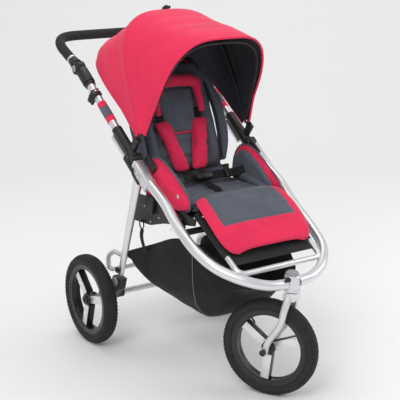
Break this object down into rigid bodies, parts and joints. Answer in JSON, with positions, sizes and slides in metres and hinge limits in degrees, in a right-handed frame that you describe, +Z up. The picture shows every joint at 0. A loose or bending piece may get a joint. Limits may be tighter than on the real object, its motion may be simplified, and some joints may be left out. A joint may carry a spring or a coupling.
{
  "type": "baby stroller",
  "caption": "Folding baby stroller with a swivelling front wheel, hood, padded harness seat, leg apron, basket and angle-set push handle.",
  "frame": {"origin": "centre of the footprint on the ground, midway along and across the bounding box", "axes": "+Z up; the stroller faces -Y and the push handle is towards +Y; +X is the left side as the child sits"},
  "size_m": [0.62, 1.163, 1.1339],
  "materials": {
    "aluminium_tube": "satin",
    "cast_alloy": "satin",
    "tyre_rubber": "matte",
    "black_plastic": "matte",
    "grip_foam": "matte",
    "canopy_cloth": "woven",
    "pink_cloth": "woven",
    "grey_cloth": "woven",
    "black_cloth": "woven",
    "black_webbing": "woven webbing",
    "spoke_plate": "brushed"
  },
  "bodies": {
    "frame": {"steering_head": "cast_alloy", "seat_cross_tube": "black_plastic", "storage_basket": "black_cloth", "seat_cushion": "grey_cloth", "harness_buckle": "black_plastic", "side_wing_left": "pink_cloth", "side_wing_right": "pink_cloth", "waist_strap_left": "black_webbing", "waist_strap_right": "black_webbing", "front_frame_tube_left": "aluminium_tube", "front_frame_tube_right": "aluminium_tube", "fold_bracket_left": "cast_alloy", "fold_bracket_right": "cast_alloy", "seat_side_plate_left": "black_plastic", "seat_side_plate_right": "black_plastic"},
    "footrest": {"footrest_tube": "aluminium_tube", "calf_panel": "black_cloth", "leg_apron": "pink_cloth"},
    "swivel_lock": {"swivel_lock_cap": "black_plastic"},
    "upper_frame": {"upper_tube_left": "aluminium_tube", "upper_tube_right": "aluminium_tube", "hinge_collar_left": "black_plastic", "hinge_collar_right": "black_plastic", "canopy_mount_left": "black_plastic", "canopy_mount_right": "black_plastic", "handle_pivot_left": "black_plastic", "handle_pivot_right": "black_plastic"},
    "latch_left": {"fold_latch_left": "aluminium_tube"},
    "latch_right": {"fold_latch_right": "aluminium_tube"},
    "button_left": {"handle_button_left": "black_plastic"},
    "button_right": {"handle_button_right": "black_plastic"},
    "handle": {"handle_tube": "aluminium_tube", "foam_grip": "grip_foam"},
    "canopy_hub": {"canopy_fabric": "canopy_cloth"},
    "front_bow": {"canopy_front_bow": "black_plastic"},
    "middle_bow": {"canopy_middle_bow": "black_plastic"},
    "recline_bar": {"recline_bar": "aluminium_tube"},
    "backrest": {"back_board": "black_plastic", "back_cushion": "grey_cloth", "headrest_roll": "pink_cloth", "shoulder_pad_left": "pink_cloth", "shoulder_pad_right": "pink_cloth"},
    "rear_frame": {"rear_leg_left": "aluminium_tube", "rear_leg_right": "aluminium_tube", "suspension_arm_left": "black_plastic", "suspension_arm_right": "black_plastic", "rear_axle": "aluminium_tube", "rear_cross_bar": "aluminium_tube"},
    "brake": {"brake_lever": "black_plastic"},
    "rear_wheel_left": {"rear_wheel_left_tyre": "tyre_rubber", "rear_wheel_left_rim": "black_plastic", "rear_wheel_left_spoke_plates": "spoke_plate"},
    "rear_wheel_right": {"rear_wheel_right_tyre": "tyre_rubber", "rear_wheel_right_rim": "black_plastic", "rear_wheel_right_spoke_plates": "spoke_plate"},
    "steering": {"front_fork": "cast_alloy", "front_axle_bolt": "black_plastic"},
    "front_wheel": {"front_wheel_tyre": "tyre_rubber", "front_wheel_rim": "black_plastic", "front_wheel_spoke_plates": "spoke_plate"}
  },
  "joints": [
    {"name": "fold_hinge", "type": "hinge", "parent": "frame", "child": "upper_frame", "pos_m": [0, -0.04301, 0.6906], "axis": [1, 0, 0], "range_deg": [0, 150]},
    {"name": "rear_frame_fold", "type": "hinge", "parent": "frame", "child": "rear_frame", "pos_m": [0, 0.00688, 0.622], "axis": [1, 0, 0], "range_deg": [-50, 0]},
    {"name": "backrest_fold", "type": "hinge", "parent": "frame", "child": "recline_bar", "pos_m": [0, 0.06988, 0.6], "axis": [1, 0, 0], "range_deg": [0, 55]},
    {"name": "backrest_recline", "type": "hinge", "parent": "recline_bar", "child": "backrest", "pos_m": [0, 0.06988, 0.6], "axis": [1, 0, 0], "range_deg": [-30, 0]},
    {"name": "canopy_hub_fold", "type": "hinge", "parent": "upper_frame", "child": "canopy_hub", "pos_m": [0, 0.0033, 0.7502], "axis": [1, 0, 0], "range_deg": [-100, 0], "deforming": ["canopy_fabric"]},
    {"name": "canopy_close", "type": "hinge", "parent": "canopy_hub", "child": "front_bow", "pos_m": [0, 0.0033, 0.7502], "axis": [1, 0, 0], "range_deg": [-70, 0]},
    {"name": "middle_bow_turn", "type": "hinge", "parent": "canopy_hub", "child": "middle_bow", "pos_m": [0, 0.0033, 0.7502], "axis": [1, 0, 0], "range_deg": [-22, 0]},
    {"name": "handle_angle", "type": "hinge", "parent": "upper_frame", "child": "handle", "pos_m": [0, 0.36515, 0.93523], "axis": [1, 0, 0], "range_deg": [-35, 25]},
    {"name": "fold_latch_left_slide", "type": "slide", "parent": "upper_frame", "child": "latch_left", "axis": [0, 0.809, 0.5878], "range_m": [0, 0.012], "stiffness_N_per_m": 600, "springref_m": -0.005},
    {"name": "fold_latch_right_slide", "type": "slide", "parent": "upper_frame", "child": "latch_right", "axis": [0, 0.809, 0.5878], "range_m": [0, 0.012], "stiffness_N_per_m": 600, "springref_m": -0.005},
    {"name": "handle_button_left_push", "type": "slide", "parent": "upper_frame", "child": "button_left", "axis": [-1, 0, 0], "range_m": [0, 0.003], "stiffness_N_per_m": 500, "springref_m": -0.003},
    {"name": "handle_button_right_push", "type": "slide", "parent": "upper_frame", "child": "button_right", "axis": [1, 0, 0], "range_m": [0, 0.003], "stiffness_N_per_m": 500, "springref_m": -0.003},
    {"name": "footrest_angle", "type": "hinge", "parent": "frame", "child": "footrest", "pos_m": [0, -0.21912, 0.549], "axis": [1, 0, 0], "range_deg": [-30, 0], "deforming": ["leg_apron"]},
    {"name": "front_swivel", "type": "hinge", "parent": "frame", "child": "steering", "pos_m": [0, -0.50012, 0.348], "axis": [0, 0, 1], "continuous": true},
    {"name": "front_wheel_spin", "type": "hinge", "parent": "steering", "child": "front_wheel", "pos_m": [-0.03197, -0.44123, 0.155], "axis": [0.8788, 0.4772, 0], "continuous": true},
    {"name": "rear_wheel_left_spin", "type": "hinge", "parent": "rear_frame", "child": "rear_wheel_left", "pos_m": [0.278, 0.24288, 0.155], "axis": [1, 0, 0], "continuous": true},
    {"name": "rear_wheel_right_spin", "type": "hinge", "parent": "rear_frame", "child": "rear_wheel_right", "pos_m": [-0.278, 0.24288, 0.155], "axis": [1, 0, 0], "continuous": true},
    {"name": "brake_press", "type": "hinge", "parent": "rear_frame", "child": "brake", "pos_m": [0, 0.24288, 0.155], "axis": [1, 0, 0], "range_deg": [-20, 0]},
    {"name": "swivel_lock_turn", "type": "hinge", "parent": "frame", "child": "swivel_lock", "pos_m": [0, -0.50012, 0.397], "axis": [0, 0, 1], "range_deg": [0, 60]}
  ],
  "couplings": [
    {"joint": "rear_frame_fold", "follows": "fold_hinge", "ratio": -0.333},
    {"joint": "backrest_fold", "follows": "fold_hinge", "ratio": 0.35},
    {"joint": "canopy_hub_fold", "follows": "fold_hinge", "ratio": -0.66},
    {"joint": "middle_bow_turn", "follows": "canopy_close", "ratio": 0.3}
  ]
}
